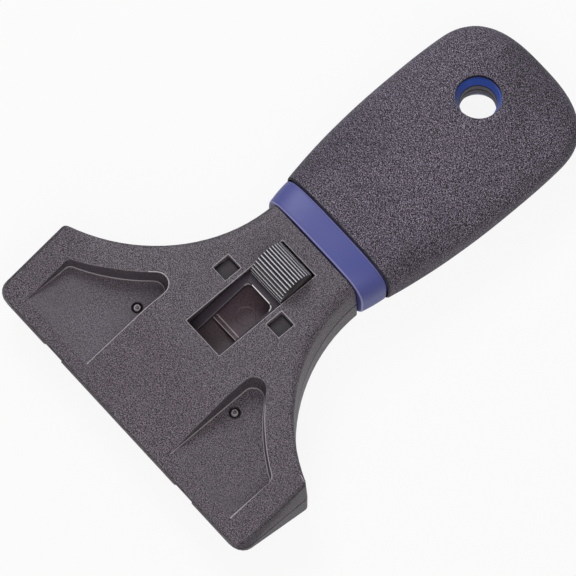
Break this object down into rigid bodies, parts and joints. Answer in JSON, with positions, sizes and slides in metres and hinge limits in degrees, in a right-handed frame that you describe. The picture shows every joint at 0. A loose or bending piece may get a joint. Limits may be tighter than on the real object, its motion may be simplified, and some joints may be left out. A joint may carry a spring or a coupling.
{
  "type": "safety scraper",
  "caption": "Hand scraper with a wide hollow head, a retractable steel blade pushed out by a ribbed thumb button, a blue collar and a soft tapered grip with a hanging hole.",
  "frame": {"origin": "middle of the footprint at the lowest point, the scraper lying on its back", "axes": "+Y from the mouth to the handle's end, +Z out of the front face with the thumb button, +X to the right seen with the mouth down"},
  "size_m": [0.1192, 0.1836, 0.0314],
  "materials": {
    "charcoal_plastic": "fine matte grain",
    "soft_black_grip": "coarse pebble texture",
    "blue_plastic": "smooth satin",
    "gloss_black_button": "semi-gloss",
    "black_inner_plastic": "satin",
    "bright_steel": "brushed"
  },
  "bodies": {
    "body": {"front_shell": "charcoal_plastic", "rear_shell": "charcoal_plastic", "head_pin_left": "charcoal_plastic", "head_pin_right": "charcoal_plastic", "handle_core": "blue_plastic", "grip": "soft_black_grip", "slide_track": "black_inner_plastic", "shell_screw_left": "bright_steel", "shell_screw_right": "bright_steel"},
    "slide": {"blade": "bright_steel", "blade_carrier": "bright_steel", "blade_clip": "bright_steel", "clip_rivet_left": "bright_steel", "clip_rivet_right": "bright_steel", "yoke_rivet_left": "bright_steel", "yoke_rivet_right": "bright_steel", "slide_yoke": "black_inner_plastic", "thumb_button": "gloss_black_button", "button_screw": "bright_steel", "detent_spring": "bright_steel", "spring_rivet": "bright_steel"}
  },
  "joints": [
    {"name": "blade_slide", "type": "slide", "parent": "body", "child": "slide", "axis": [0, -1, 0], "range_m": [0, 0.026]}
  ]
}
